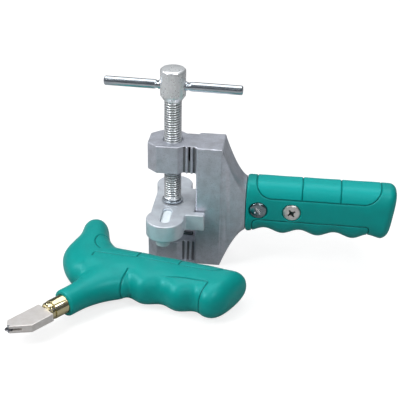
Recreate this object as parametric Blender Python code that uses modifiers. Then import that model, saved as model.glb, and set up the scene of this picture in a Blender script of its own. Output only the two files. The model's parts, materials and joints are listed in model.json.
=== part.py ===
"""A two-piece hand set for scoring and breaking glass.

The breaking clamp stands on its lower arm: a cast frame, a screw with a tommy bar that drives a
pressure bar, and a moulded grip over the frame's tang. The wheel cutter lies flat beside it: a
moulded pistol handle, a brass ferrule and a steel head with a small cutting wheel.

Lengths are written in millimetres and scaled to metres by MM. The origin is on the screw's axis
at the level of the clamp's base, +X points along the grip and -Y towards the user.
"""

import math

import bmesh
import bpy
from mathutils import Matrix, Vector

MM = 0.001
GAP = 0.3

# Frame casting
FRAME_HEIGHT = 90.6
FRAME_MID = FRAME_HEIGHT / 2
ARM_UNDERSIDE = 70.7
LOWER_ARM_TOP = 17.0
NOSE_X = -16.2
NOSE_HALF = 13.8
NECK_HALF = 10.6
RIB_HALF = 11.7
RIB_X = (10.9, 14.3)
COLUMN_X = 17.6
COLUMN_HALF = 13.2
COLUMN_END_X = 35.2
TAIL_END_X = 51.8
TAIL_END_HALF = 11.4
TAIL_END_HEIGHT = 38.4
TAIL_STEP = 0.25
TANG_END_X = 97.0
TANG_HALF = 7.0
TANG_HEIGHT = 24.0

# Screw, M12 by 1.75
THREAD_RADIUS = 5.95
THREAD_BORE = 6.0
HEAD_RADIUS = 8.65
HEAD_TOP = 141.3
HEAD_BOTTOM = 122.4
NECK_TOP = 119.2
JOURNAL_RADIUS = 4.0
TOMMY_RADIUS = 3.15
TOMMY_HALF = 46.4
TOMMY_Z = 129.4
TOMMY_TURN = math.radians(-2.4)

# Pressure bar
BAR_TOP = 43.0
BAR_BOTTOM = 31.0
BAR_LEFT = -12.6
BAR_RIGHT = COLUMN_X - GAP
BOSS_X = -1.8
BOSS_Y = 25.7
BOSS_RADIUS = 12.9
EAR_INNER = 14.0
EAR_OUTER = 19.6
EAR_END_X = 24.3
SLOT_HALF = 3.3
SLOT_Y = (15.4, 28.8)
WASHER_RADIUS = 7.35
WASHER_HEIGHT = 1.5
POCKET_RADIUS = 8.2
POCKET_DEPTH = 5.0
LOWER_WASHER_HEIGHT = 1.0
RING_GROOVE = (2.0, 3.4)
RING_RADIUS = 6.6
FOOT_RADIUS = 5.0
FOOT_BOTTOM = 24.4
FOOT_X = BOSS_X - 0.8
FOOT_Y = 29.0
STEM_DROP = 1.6
STEM_FOOT = 32.0
STEM_NECK_RADIUS = 1.7

# Fulcrum rod in the lower arm
FULCRUM_RADIUS = 1.6
FULCRUM_X = (-13.5, 14.5)

# Clamp grip
GRIP_START = 52.2
GRIP_END = 154.2
GRIP_HALF = 13.0
GRIP_TOP = 65.7
GRIP_BOTTOM = 25.6
SCALLOP_PITCH = 24.2
SCALLOP_DEPTH = 3.6
SCALLOP_CREST_X = 53.4
GRIP_HEEL_RISE = 1.4
END_LEAN = 0.11
GRIP_SCREWS = {"grip_screw_front": 60.6, "grip_screw_rear": 83.5}
GRIP_SCREW_Z = 46.2
SCREW_HEAD_RADIUS = 6.2
SCREW_SHANK_RADIUS = 2.4

# Wheel cutter, in the plane of its handle
CUTTER_MID = 13.0
HANDLE_HALF = 13.0
HANDLE_START = (-49.93, -47.66)
HANDLE_END = (51.47, -69.56)
HANDLE_WIDTH = 39.3
HANDLE_POWER = 2.5
HANDLE_ROUND = 9.0
HANDLE_LEAN = 0.3
HOLLOW_START = 21.0
HOLLOW_PITCH = 23.5
HOLLOW_DEPTH = 4.0
NOZZLE_RADIUS = 9.0
NOZZLE_MOUTH = (-57.6, -92.0)
NOZZLE_ANGLE = math.radians(52.7)
FERRULE_RADIUS = 6.3
FERRULE_LENGTH = 13.3
FERRULE_TAIL = 18.0
SLIT_HALF = 0.5
SLIT_LENGTH = 14.0
SLIT_TURN = math.radians(-50)
HEAD_LENGTH = 27.6
HEAD_HALF = 7.5
HEAD_THICKNESS = 5.6
HEAD_TIP = (1.2, 3.4)
HEAD_TAPER = (10.8, 3.4)
HEAD_SHANK_RADIUS = 3.0
HEAD_SHANK_LENGTH = 16.0
WHEEL_RADIUS = 2.5
WHEEL_THICKNESS = 1.2
WHEEL_OUT = 2.1
AXLE_RADIUS = 0.7

# Horn of the handle, from inside the junction out: x, y, half width, half thickness
HORN_STATIONS = (
    (-39.4, -60.4, 10.0, 8.6),
    (-40.8, -58.0, 16.4, 11.2),
    (-42.8, -54.2, 19.6, 12.5),
    (-45.0, -50.0, 20.4, 12.9),
    (-48.6, -43.0, 20.6, 12.9),
    (-51.4, -35.0, 19.6, 12.8),
    (-52.6, -27.0, 15.8, 12.5),
    (-53.2, -19.0, 12.2, 12.0),
    (-54.0, -11.0, 10.4, 11.4),
    (-55.0, -4.0, 9.6, 10.6),
    (-56.2, 1.0, 8.6, 9.4),
    (-57.2, 4.4, 6.6, 7.4),
    (-57.8, 6.4, 4.0, 4.8),
    (-58.2, 7.4, 1.6, 2.0),
)

# Nozzle of the handle, from its mouth inwards: distance, half width, half thickness
NOZZLE_STATIONS = (
    (0.0, NOZZLE_RADIUS - 0.8, NOZZLE_RADIUS - 0.8),
    (0.8, NOZZLE_RADIUS, NOZZLE_RADIUS),
    (8.0, NOZZLE_RADIUS, NOZZLE_RADIUS),
    (14.0, 9.4, 9.3),
    (20.0, 10.4, 9.9),
    (26.0, 12.2, 10.6),
    (32.0, 15.0, 11.4),
    (38.0, 18.6, 12.0),
    (48.0, 20.0, 12.3),
)

TEAL = (0.01, 0.30, 0.25, 1.0)
ALUMINIUM = (0.60, 0.62, 0.68, 1.0)
ZINC = (0.72, 0.75, 0.78, 1.0)
BRASS = (0.78, 0.62, 0.30, 1.0)
HEAD_STEEL = (0.66, 0.62, 0.62, 1.0)
CARBIDE = (0.06, 0.06, 0.07, 1.0)
NYLON = (0.70, 0.76, 0.78, 1.0)


# ---------------------------------------------------------------- scene and materials


def clear_scene():
    for obj in list(bpy.data.objects):
        bpy.data.objects.remove(obj, do_unlink=True)


def new_collection(name, hidden=False):
    collection = bpy.data.collections.new(name)
    collection.hide_render = hidden
    bpy.context.scene.collection.children.link(collection)
    return collection


def material(name, color, roughness, metallic):
    made = bpy.data.materials.new(name)
    made.use_nodes = True
    shader = made.node_tree.nodes["Principled BSDF"]
    shader.inputs["Base Color"].default_value = color
    shader.inputs["Roughness"].default_value = roughness
    shader.inputs["Metallic"].default_value = metallic
    made.diffuse_color = color
    return made


def finish(obj, made, sharp_degrees=35):
    """Gives a part its material and smooth shading that breaks at sharp edges."""
    obj.data.materials.clear()
    obj.data.materials.append(made)
    obj.data.shade_smooth()
    obj.data.set_sharp_from_angle(angle=math.radians(sharp_degrees))
    return obj


# ---------------------------------------------------------------- shapes


def mesh_object(name, mesh, collection):
    obj = bpy.data.objects.new(name, mesh)
    collection.objects.link(obj)
    return obj


def object_from_bmesh(name, shape, collection):
    mesh = bpy.data.meshes.new(name)
    bmesh.ops.recalc_face_normals(shape, faces=shape.faces)
    shape.to_mesh(mesh)
    shape.free()
    return mesh_object(name, mesh, collection)


def box(name, low, high, collection=None):
    """A box between two corners, in millimetres."""
    shape = bmesh.new()
    bmesh.ops.create_cube(shape, size=1.0)
    size = [(b - a) * MM for a, b in zip(low, high)]
    middle = [(a + b) / 2 * MM for a, b in zip(low, high)]
    bmesh.ops.scale(shape, vec=size, verts=shape.verts)
    bmesh.ops.translate(shape, vec=middle, verts=shape.verts)
    return object_from_bmesh(name, shape, collection or CUTTERS)


def rod(name, start, end, radius, end_radius=None, sides=32, collection=None):
    """A round bar or cone between two points, in millimetres."""
    start, end = Vector(start), Vector(end)
    axis = end - start
    shape = bmesh.new()
    bmesh.ops.create_cone(
        shape,
        cap_ends=True,
        segments=sides,
        radius1=radius * MM,
        radius2=(radius if end_radius is None else end_radius) * MM,
        depth=axis.length * MM,
    )
    turn = axis.to_track_quat("Z", "Y").to_matrix().to_4x4()
    place = Matrix.Translation((start + end) / 2 * MM) @ turn
    bmesh.ops.transform(shape, matrix=place, verts=shape.verts)
    return object_from_bmesh(name, shape, collection or CUTTERS)


def turned(name, profile, collection, sides=48):
    """A turned piece about +Z: (radius, height) pairs from the top of the axis to its foot."""
    mesh = bpy.data.meshes.new(name)
    points = [(r * MM, 0, z * MM) for r, z in profile]
    mesh.from_pydata(points, [(i, i + 1) for i in range(len(points) - 1)], [])
    obj = mesh_object(name, mesh, collection)
    screw = obj.modifiers.new("Screw", "SCREW")
    screw.axis = "Z"
    screw.steps = sides
    screw.render_steps = sides
    screw.use_merge_vertices = True
    screw.merge_threshold = 0.00001
    return baked(obj)


def baked(obj):
    """The object with its modifiers applied, at its place."""
    bpy.context.view_layer.update()
    graph = bpy.context.evaluated_depsgraph_get()
    mesh = bpy.data.meshes.new_from_object(obj.evaluated_get(graph))
    obj.modifiers.clear()
    obj.data = mesh
    return obj


def slab(name, outline, bottom, top, collection, bevel=0.0):
    """A flat outline in plan, as a filled 2D curve, raised from bottom to top."""
    curve = bpy.data.curves.new(name, "CURVE")
    curve.dimensions = "2D"
    curve.fill_mode = "BOTH"
    curve.extrude = (top - bottom) / 2 * MM
    spline = curve.splines.new("POLY")
    spline.points.add(len(outline) - 1)
    for point, (x, y) in zip(spline.points, outline):
        point.co = (x * MM, y * MM, 0, 1)
    spline.use_cyclic_u = True
    guide = bpy.data.objects.new(name + "_outline", curve)
    guide.location.z = (top + bottom) / 2 * MM
    CUTTERS.objects.link(guide)
    bpy.context.view_layer.update()
    graph = bpy.context.evaluated_depsgraph_get()
    mesh = bpy.data.meshes.new_from_object(guide.evaluated_get(graph))
    shape = bmesh.new()
    shape.from_mesh(mesh)
    bmesh.ops.remove_doubles(shape, verts=shape.verts, dist=1e-6)
    bmesh.ops.dissolve_limit(shape, angle_limit=0.001, verts=shape.verts, edges=shape.edges)
    obj = object_from_bmesh(name, shape, collection)
    obj.matrix_world = guide.matrix_world
    bpy.data.objects.remove(guide)
    if bevel:
        add_bevel(obj, bevel)
    return obj


def add_bevel(obj, width, segments=1, angle=50):
    modifier = obj.modifiers.new("Bevel", "BEVEL")
    modifier.width = width * MM
    modifier.segments = segments
    modifier.limit_method = "ANGLE"
    modifier.angle_limit = math.radians(angle)
    return baked(obj)


def loft(name, sections, collection):
    """A closed skin over rings of points that all have the same count."""
    shape = bmesh.new()
    rings = [[shape.verts.new(Vector(p) * MM) for p in ring] for ring in sections]
    for ring, following in zip(rings, rings[1:]):
        for i in range(len(ring)):
            j = (i + 1) % len(ring)
            shape.faces.new((ring[i], ring[j], following[j], following[i]))
    shape.faces.new(list(reversed(rings[0])))
    shape.faces.new(rings[-1])
    return object_from_bmesh(name, shape, collection)


def superellipse(centre, across, up, half_across, half_up, power, sides):
    """A ring between an ellipse (power 2) and a box (a high power)."""
    centre, across, up = Vector(centre), Vector(across), Vector(up)
    ring = []
    for i in range(sides):
        angle = 2 * math.pi * (i + 0.5) / sides
        c, s = math.cos(angle), math.sin(angle)
        x = math.copysign(abs(c) ** (2 / power), c)
        y = math.copysign(abs(s) ** (2 / power), s)
        ring.append(centre + across * half_across * x + up * half_up * y)
    return ring


def rounded_section(x, half_across, half_up, radius, steps=5):
    """A ring across X, centred on the frame's mid-height, with rounded corners."""
    ring = []
    for corner in range(4):
        side = 1 if corner in (0, 3) else -1
        rise = 1 if corner in (0, 1) else -1
        for i in range(steps + 1):
            angle = math.pi / 2 * (corner + i / steps)
            y = side * (half_across - radius) + radius * math.cos(angle)
            z = rise * (half_up - radius) + radius * math.sin(angle)
            ring.append(Vector((x, y, FRAME_MID + z)))
    return ring


def boolean(obj, other, operation="DIFFERENCE"):
    """Cuts or joins with another object, which is then put away."""
    modifier = obj.modifiers.new("Boolean", "BOOLEAN")
    modifier.operation = operation
    modifier.solver = "EXACT"
    modifier.object = other
    baked(obj)
    bpy.data.objects.remove(other)
    return obj


def arc(centre, radius, start, end, steps):
    """Points on a circle, in plan, from one angle to another in degrees."""
    points = []
    for i in range(steps + 1):
        angle = math.radians(start + (end - start) * i / steps)
        points.append((centre[0] + radius * math.cos(angle), centre[1] + radius * math.sin(angle)))
    return points


def mirrored(half):
    """The outline's +Y half, given from -X round to +X, joined to its reflection."""
    return half + [(x, -y) for x, y in reversed(half)]


def smooth_step(t):
    t = min(max(t, 0.0), 1.0)
    return t * t * (3 - 2 * t)


# ---------------------------------------------------------------- breaking clamp


def frame_outline():
    half = [
        (NOSE_X, 7.6),
        (-9.4, NOSE_HALF),
        (5.0, NOSE_HALF),
        (8.6, NECK_HALF),
        (COLUMN_X - 0.8, NECK_HALF),
        (COLUMN_X + 0.4, COLUMN_HALF),
        (COLUMN_END_X, COLUMN_HALF),
    ]
    return mirrored(half)


def rib(x, side):
    """One of the upright ribs beside the nose, as a slim four-sided bar set on its edge."""
    reach = (RIB_HALF - NECK_HALF) * side
    foot = (x, side * NECK_HALF + reach / 4, 0.6)
    head = (x, side * NECK_HALF + reach / 4, FRAME_HEIGHT - 0.6)
    return rod("rib", foot, head, abs(reach), sides=4)


def tail_sections():
    """The frame's neck, from the tall column to the rounded seat of the grip."""
    rings = []
    steps = 9
    for i in range(-1, steps + 1):
        t = max(i, 0) / steps
        x = COLUMN_END_X - 1.5 if i < 0 else COLUMN_END_X + (TAIL_END_X - COLUMN_END_X) * t
        half_up = TAIL_END_HEIGHT / 2 + (FRAME_HEIGHT - TAIL_END_HEIGHT) / 2 * (1 - t) ** 1.7
        half_across = COLUMN_HALF - (COLUMN_HALF - TAIL_END_HALF) * t
        radius = 1.0 + 8.0 * t**1.4
        rings.append(rounded_section(x, half_across - TAIL_STEP, half_up - TAIL_STEP, radius))
    return rings


def make_frame():
    frame = slab("clamp_frame", frame_outline(), 0, FRAME_HEIGHT, PARTS, bevel=0.5)
    boolean(frame, loft("tail", tail_sections(), CUTTERS), "UNION")
    tang = box(
        "tang",
        (TAIL_END_X - 4, -TANG_HALF, FRAME_MID - TANG_HEIGHT / 2),
        (TANG_END_X, TANG_HALF, FRAME_MID + TANG_HEIGHT / 2),
    )
    boolean(frame, tang, "UNION")
    for x in RIB_X:
        for side in (-1, 1):
            boolean(frame, rib(x, side), "UNION")
    boolean(frame, box("throat", (-40, -40, LOWER_ARM_TOP), (COLUMN_X, 40, ARM_UNDERSIDE)))
    boolean(frame, rod("bore", (0, 0, ARM_UNDERSIDE - 5), (0, 0, 100), THREAD_BORE, sides=48))
    mouth = rod(
        "mouth",
        (0, 0, FRAME_HEIGHT - 1.6),
        (0, 0, FRAME_HEIGHT + 0.4),
        THREAD_BORE - 0.4,
        THREAD_BORE + 1.6,
        sides=48,
    )
    boolean(frame, mouth)
    groove = rod(
        "groove",
        (FULCRUM_X[0] - GAP, 0, LOWER_ARM_TOP),
        (FULCRUM_X[1] + GAP, 0, LOWER_ARM_TOP),
        FULCRUM_RADIUS + 0.1,
        sides=24,
    )
    boolean(frame, groove)
    for x in GRIP_SCREWS.values():
        hole = rod(
            "tapped_hole",
            (x, -20, GRIP_SCREW_Z),
            (x, 4.5, GRIP_SCREW_Z),
            SCREW_SHANK_RADIUS + 0.1,
            sides=24,
        )
        boolean(frame, hole)
    return finish(frame, material("cast_aluminium", ALUMINIUM, 0.42, 0.9))


def make_spindle():
    profile = [
        (0, HEAD_TOP),
        (HEAD_RADIUS - 1.0, HEAD_TOP),
        (HEAD_RADIUS, HEAD_TOP - 1.0),
        (HEAD_RADIUS, HEAD_BOTTOM),
        (THREAD_RADIUS + 0.5, NECK_TOP),
        (THREAD_RADIUS, NECK_TOP),
        (THREAD_RADIUS, BAR_TOP + WASHER_HEIGHT + 2 * GAP + 0.6),
        (THREAD_RADIUS - 0.6, BAR_TOP + WASHER_HEIGHT + 2 * GAP),
        (JOURNAL_RADIUS, BAR_TOP + WASHER_HEIGHT + 2 * GAP),
        (JOURNAL_RADIUS, BAR_BOTTOM + RING_GROOVE[1]),
        (JOURNAL_RADIUS - 0.6, BAR_BOTTOM + RING_GROOVE[1]),
        (JOURNAL_RADIUS - 0.6, BAR_BOTTOM + RING_GROOVE[0]),
        (JOURNAL_RADIUS, BAR_BOTTOM + RING_GROOVE[0]),
        (JOURNAL_RADIUS - 0.5, BAR_BOTTOM + 0.8),
        (0, BAR_BOTTOM + 0.8),
    ]
    spindle = turned("spindle_screw", profile, PARTS)
    boolean(spindle, tommy_rod("cross_hole", TOMMY_RADIUS + 0.1, 20, CUTTERS))
    return finish(spindle, material("zinc_plate", ZINC, 0.28, 1.0))


def tommy_rod(name, radius, half, collection):
    along = Vector((math.cos(TOMMY_TURN), math.sin(TOMMY_TURN), 0))
    middle = Vector((0, 0, TOMMY_Z))
    return rod(name, middle - along * half, middle + along * half, radius, sides=24, collection=collection)


def make_tommy_bar():
    bar = tommy_rod("tommy_bar", TOMMY_RADIUS, TOMMY_HALF, PARTS)
    add_bevel(bar, 0.5)
    return finish(bar, material("bright_steel", ZINC, 0.2, 1.0))


def bar_outline():
    half = arc((BOSS_X, BOSS_Y), BOSS_RADIUS, 215, 0, 22)
    half = [(x, y) for x, y in half if x > BAR_LEFT - 3]
    left = [(BAR_LEFT, 0.0), (BAR_LEFT, 15.5)]
    waist_x = BOSS_X + BOSS_RADIUS
    right = [
        (waist_x, EAR_OUTER + 1.6),
        (waist_x + 0.5, EAR_OUTER + 0.5),
        (waist_x + 1.6, EAR_OUTER),
        (EAR_END_X, EAR_OUTER),
        (EAR_END_X, EAR_INNER),
        (BAR_RIGHT + 0.6, EAR_INNER),
    ]
    relief = arc((BAR_RIGHT - 0.2, EAR_INNER - 0.2), 0.8, 60, 210, 4)
    relief = [(min(x, BAR_RIGHT + 0.2), y) for x, y in relief]
    right += relief + [(BAR_RIGHT, EAR_INNER - 1.4), (BAR_RIGHT, 0.0)]
    half = left + half + right
    return half + [(x, -y) for x, y in reversed(half) if y > 0]


def make_pressure_bar():
    bar = slab("pressure_bar", bar_outline(), BAR_BOTTOM, BAR_TOP, PARTS, bevel=0.5)
    below = BAR_BOTTOM - 5
    boolean(bar, rod("bore", (0, 0, below), (0, 0, BAR_TOP + 5), JOURNAL_RADIUS + 0.08, sides=48))
    boolean(bar, rod("pocket", (0, 0, below), (0, 0, BAR_BOTTOM + POCKET_DEPTH), POCKET_RADIUS, sides=48))
    for side in (-1, 1):
        boolean(bar, slab("slot", slot_outline(side, SLOT_HALF), below, BAR_TOP + 5, CUTTERS))
    return finish(bar, material("machined_aluminium", ALUMINIUM, 0.35, 0.9))


def slot_outline(side, half):
    near, far = SLOT_Y
    if side < 0:
        near, far = -SLOT_Y[1], -SLOT_Y[0]
    ends = arc((BOSS_X + 0.4, far), half, 0, 180, 8)
    return ends + arc((BOSS_X + 0.4, near), half, 180, 360, 8)


def make_feet():
    """Each foot is a round button under the bar, with a stem that fills the bar's slot."""
    nylon = material("foot_nylon", NYLON, 0.5, 0.0)
    for name, side in (("foot_near", -1), ("foot_far", 1)):
        profile = [
            (0, STEM_FOOT + 1.0),
            (STEM_NECK_RADIUS, STEM_FOOT + 1.0),
            (STEM_NECK_RADIUS, BAR_BOTTOM - GAP),
            (FOOT_RADIUS, BAR_BOTTOM - GAP),
            (FOOT_RADIUS, FOOT_BOTTOM + 0.8),
            (FOOT_RADIUS - 0.8, FOOT_BOTTOM),
            (0, FOOT_BOTTOM),
        ]
        foot = turned(name, profile, PARTS, sides=32)
        foot.location = (FOOT_X * MM, side * FOOT_Y * MM, 0)
        stem = slab("stem", slot_outline(side, SLOT_HALF - GAP), STEM_FOOT, BAR_TOP - STEM_DROP, CUTTERS)
        boolean(foot, stem, "UNION")
        finish(foot, nylon)


def ring(name, inner, outer, bottom, top, sides=48):
    """A plain washer with slightly broken edges."""
    middle = (bottom + top) / 2
    edge = min(0.25, (top - bottom) / 4)
    profile = [
        (inner, middle),
        (inner, top),
        (outer - edge, top),
        (outer, top - edge),
        (outer, bottom + edge),
        (outer - edge, bottom),
        (inner, bottom),
        (inner, middle),
    ]
    return turned(name, profile, PARTS, sides)


def make_rings():
    """The washers above and below the pressure bar, and the clip that holds the screw in it."""
    bright = bpy.data.materials["bright_steel"]
    hole = JOURNAL_RADIUS + 0.2
    bottom = BAR_TOP + GAP
    finish(ring("thrust_washer", hole, WASHER_RADIUS, bottom, bottom + WASHER_HEIGHT), bright)
    top = BAR_BOTTOM + POCKET_DEPTH - GAP
    finish(ring("lower_washer", hole, RING_RADIUS, top - LOWER_WASHER_HEIGHT, top), bright)
    bottom = BAR_BOTTOM + RING_GROOVE[0] + 0.2
    clip = ring("retaining_ring", JOURNAL_RADIUS - 0.4, RING_RADIUS, bottom, bottom + 1.0)
    boolean(clip, box("mouth", (-1.6, 0, BAR_BOTTOM), (1.6, 12, BAR_BOTTOM + 6)))
    finish(clip, material("spring_steel", (0.12, 0.12, 0.13, 1.0), 0.4, 1.0))


def make_fulcrum():
    pin = rod(
        "fulcrum_rod",
        (FULCRUM_X[0], 0, LOWER_ARM_TOP),
        (FULCRUM_X[1], 0, LOWER_ARM_TOP),
        FULCRUM_RADIUS,
        sides=24,
        collection=PARTS,
    )
    add_bevel(pin, 0.3)
    finish(pin, bpy.data.materials["bright_steel"])


def grip_bottom(x):
    """The finger side of the grip: rounded hollows between crests one pitch apart."""
    phase = (x - SCALLOP_CREST_X) / SCALLOP_PITCH
    if phase < 0:
        return GRIP_BOTTOM
    if phase > 4:
        return GRIP_BOTTOM + GRIP_HEEL_RISE
    lift = GRIP_HEEL_RISE if phase > 3.5 else 0.0
    return GRIP_BOTTOM + lift + (SCALLOP_DEPTH - lift) * math.sin(math.pi * phase) ** 2


def grip_sections():
    rings = []
    length = GRIP_END - GRIP_START
    stations = [0.0, 0.8] + [1.6 + (length - 8.0) * i / 34 for i in range(35)]
    stations += [length - 5.0, length - 3.4, length - 2.0, length - 0.9, length - 0.25, length]
    for along in stations:
        left = length - along
        shrink = 0.0
        if along < 1.6:
            shrink = 1.0 * (1 - along / 1.6) ** 2
        if left < 6.0:
            shrink = 6.0 - math.sqrt(36.0 - (6.0 - left) ** 2)
        x = GRIP_START + along
        low, high = grip_bottom(x) + shrink, GRIP_TOP - shrink
        middle = (low + high) / 2
        ring_points = superellipse(
            (x, 0, middle),
            (0, 1, 0),
            (0, 0, 1),
            GRIP_HALF - shrink * 0.9,
            (high - low) / 2,
            2.9,
            32,
        )
        lean = END_LEAN * smooth_step((along - length + 30) / 30)
        for point in ring_points:
            point.x += lean * (point.z - GRIP_TOP)
        rings.append(ring_points)
    return rings


def make_clamp_grip():
    grip = loft("clamp_grip", grip_sections(), PARTS)
    socket = box(
        "socket",
        (GRIP_START - 5, -TANG_HALF - GAP, FRAME_MID - TANG_HEIGHT / 2 - GAP),
        (TANG_END_X + GAP, TANG_HALF + GAP, FRAME_MID + TANG_HEIGHT / 2 + GAP),
    )
    boolean(grip, socket)
    for x in GRIP_SCREWS.values():
        hole = rod("hole", (x, -20, GRIP_SCREW_Z), (x, 0, GRIP_SCREW_Z), SCREW_SHANK_RADIUS + 0.3, sides=24)
        boolean(grip, hole)
        recess = rod(
            "recess",
            (x, -20, GRIP_SCREW_Z),
            (x, -GRIP_HALF + 2.6, GRIP_SCREW_Z),
            SCREW_HEAD_RADIUS + GAP,
            sides=32,
        )
        boolean(grip, recess)
    return finish(grip, material("teal_moulding", TEAL, 0.38, 0.0))


def make_grip_screws():
    """Cross-recessed screws, turned upright and then laid along -Y."""
    finishes = {
        "grip_screw_front": material("dark_plated_steel", (0.25, 0.27, 0.28, 1.0), 0.2, 1.0),
        "grip_screw_rear": material("nickel_plated_steel", (0.80, 0.79, 0.76, 1.0), 0.3, 1.0),
    }
    seat = GRIP_HALF - 2.6 + 0.1
    for name, x in GRIP_SCREWS.items():
        profile = [
            (0, seat + 2.6),
            (SCREW_HEAD_RADIUS - 1.2, seat + 2.5),
            (SCREW_HEAD_RADIUS, seat + 1.6),
            (SCREW_HEAD_RADIUS, seat),
            (SCREW_SHANK_RADIUS, seat),
            (SCREW_SHANK_RADIUS, -3.2),
            (SCREW_SHANK_RADIUS - 1.0, -4.2),
            (0, -4.2),
        ]
        screw = turned(name, profile, PARTS, sides=32)
        for turn in (35, 125):
            slot = box("recess", (-2.6, -0.55, seat + 0.9), (2.6, 0.55, seat + 6))
            slot.rotation_euler.z = math.radians(turn)
            boolean(screw, slot)
        screw.rotation_euler.x = math.radians(90)
        screw.location = (x * MM, 0, GRIP_SCREW_Z * MM)
        finish(screw, finishes[name])


# ---------------------------------------------------------------- wheel cutter


def in_plane(x, y, z=CUTTER_MID):
    return Vector((x, y, z))


def limb(name, stations, power, sides=28):
    """A limb of the handle: a loft along (x, y, half_width, half_thickness) stations in plan."""
    points = [in_plane(x, y) for x, y, _, _ in stations]
    rings = []
    for i, (_, _, half_width, half_thick) in enumerate(stations):
        before = points[max(i - 1, 0)]
        after = points[min(i + 1, len(points) - 1)]
        along = (after - before).normalized()
        across = Vector((-along.y, along.x, 0))
        rings.append(superellipse(points[i], across, (0, 0, 1), half_width, half_thick, power, sides))
    return loft(name, rings, CUTTERS)


def grip_limb():
    """The finger grip: straight, with shallow finger hollows on its near side."""
    start, end = Vector(HANDLE_START), Vector(HANDLE_END)
    along = (end - start).normalized()
    across = Vector((-along.y, along.x))
    length = (end - start).length
    rings = []
    stations = [length * i / 26 for i in range(24)]
    stations += [length - left for left in (9.0, 7.0, 5.0, 3.2, 1.7, 0.6, 0.0)]
    for s in stations:
        cut = HANDLE_ROUND - math.sqrt(HANDLE_ROUND**2 - max(HANDLE_ROUND - length + s, 0) ** 2)
        hollow = finger_hollow(s)
        centre = start + along * s + across * (hollow / 2)
        ring_points = superellipse(
            in_plane(*centre),
            across.to_3d(),
            (0, 0, 1),
            HANDLE_WIDTH / 2 - hollow / 2 - cut,
            HANDLE_HALF - cut,
            HANDLE_POWER,
            28,
        )
        lean = HANDLE_LEAN * smooth_step((s - length + 30) / 30)
        for point in ring_points:
            point += along.to_3d() * lean * across.to_3d().dot(point - in_plane(*centre))
        rings.append(ring_points)
    return loft("cutter_handle", rings, PARTS)


def finger_hollow(s):
    """Depth of the finger hollows at a distance along the grip: three, one pitch apart."""
    if not HOLLOW_START < s < HOLLOW_START + 3 * HOLLOW_PITCH:
        return 0.0
    return HOLLOW_DEPTH * math.sin(math.pi * (s - HOLLOW_START) / HOLLOW_PITCH) ** 2


def horn_limb():
    return limb("horn", HORN_STATIONS, HANDLE_POWER)


def nozzle_axis():
    return Vector((math.cos(NOZZLE_ANGLE), math.sin(NOZZLE_ANGLE), 0))


def nozzle_limb():
    along = nozzle_axis()
    mouth = in_plane(*NOZZLE_MOUTH)
    stations = []
    for s, half_width, half_thick in NOZZLE_STATIONS:
        point = mouth + along * s
        stations.append((point.x, point.y, half_width, half_thick))
    return limb("nozzle", stations, 2.0)


def make_cutter_handle():
    handle = grip_limb()
    boolean(handle, horn_limb(), "UNION")
    boolean(handle, nozzle_limb(), "UNION")
    mouth = in_plane(*NOZZLE_MOUTH)
    along = nozzle_axis()
    socket = rod("socket", mouth - along * 5, mouth + along * (FERRULE_TAIL + GAP), FERRULE_RADIUS + 0.1)
    boolean(handle, socket)
    return finish(handle, bpy.data.materials["teal_moulding"])


def along_nozzle(obj):
    """Lays a piece turned about +Z along the nozzle, its +Z out of the mouth."""
    out = -nozzle_axis()
    turn = out.to_track_quat("Z", "X").to_matrix().to_4x4()
    obj.matrix_world = Matrix.Translation(in_plane(*NOZZLE_MOUTH) * MM) @ turn
    bpy.context.view_layer.update()
    return obj


def make_ferrule():
    inner = HEAD_SHANK_RADIUS + 0.1
    top = FERRULE_LENGTH
    profile = [
        (inner, 0),
        (inner, top),
        (FERRULE_RADIUS - 1.9, top),
        (FERRULE_RADIUS - 0.9, top - 0.5),
        (FERRULE_RADIUS - 0.4, top - 1.2),
        (FERRULE_RADIUS - 0.3, top - 2.4),
        (FERRULE_RADIUS - 1.0, top - 2.7),
        (FERRULE_RADIUS - 1.0, top - 3.3),
        (FERRULE_RADIUS, top - 3.8),
        (FERRULE_RADIUS, -FERRULE_TAIL + 0.5),
        (FERRULE_RADIUS - 0.5, -FERRULE_TAIL),
        (inner, -FERRULE_TAIL),
        (inner, 0),
    ]
    ferrule = turned("brass_ferrule", profile, PARTS, sides=40)
    slit = box("slit", (0, -SLIT_HALF, top - SLIT_LENGTH), (12, SLIT_HALF, top + 4))
    slit.rotation_euler.z = SLIT_TURN
    boolean(ferrule, slit)
    along_nozzle(ferrule)
    return finish(ferrule, material("brass", BRASS, 0.18, 1.0))


def head_outline():
    """The head's plate from above, tip at +Y, shoulder at the ferrule."""
    base = FERRULE_LENGTH + GAP
    tip = base + HEAD_LENGTH
    return [
        (-HEAD_HALF, base),
        (HEAD_HALF, base),
        (HEAD_HALF, tip - HEAD_TAPER[1]),
        (HEAD_TIP[1], tip),
        (HEAD_TIP[0], tip),
        (-HEAD_HALF, tip - HEAD_TAPER[0]),
    ]


def wheel_place():
    """The axle's place in plan, from the nozzle's mouth: it stands a little to the thumb's side."""
    return sum(HEAD_TIP) / 2, FERRULE_LENGTH + GAP + HEAD_LENGTH - WHEEL_RADIUS + WHEEL_OUT


def make_cutter_head():
    half = HEAD_THICKNESS / 2
    head = slab("cutter_head", head_outline(), -half, half, PARTS, bevel=0.3)
    base = FERRULE_LENGTH + GAP
    shank = rod("shank", (0, base + 2, 0), (0, base - HEAD_SHANK_LENGTH, 0), HEAD_SHANK_RADIUS, sides=32)
    boolean(head, shank, "UNION")
    tip = base + HEAD_LENGTH
    slot_half = WHEEL_THICKNESS / 2 + 0.15
    boolean(head, box("wheel_slot", (-20, tip - 6.0, -slot_half), (20, tip + 2, slot_half)))
    x, y = wheel_place()
    boolean(head, rod("axle_hole", (x, y, -10), (x, y, 10), AXLE_RADIUS + 0.05, sides=20))
    head.matrix_world = flat_along_nozzle()
    return finish(head, material("ground_steel", HEAD_STEEL, 0.35, 0.9))


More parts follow.
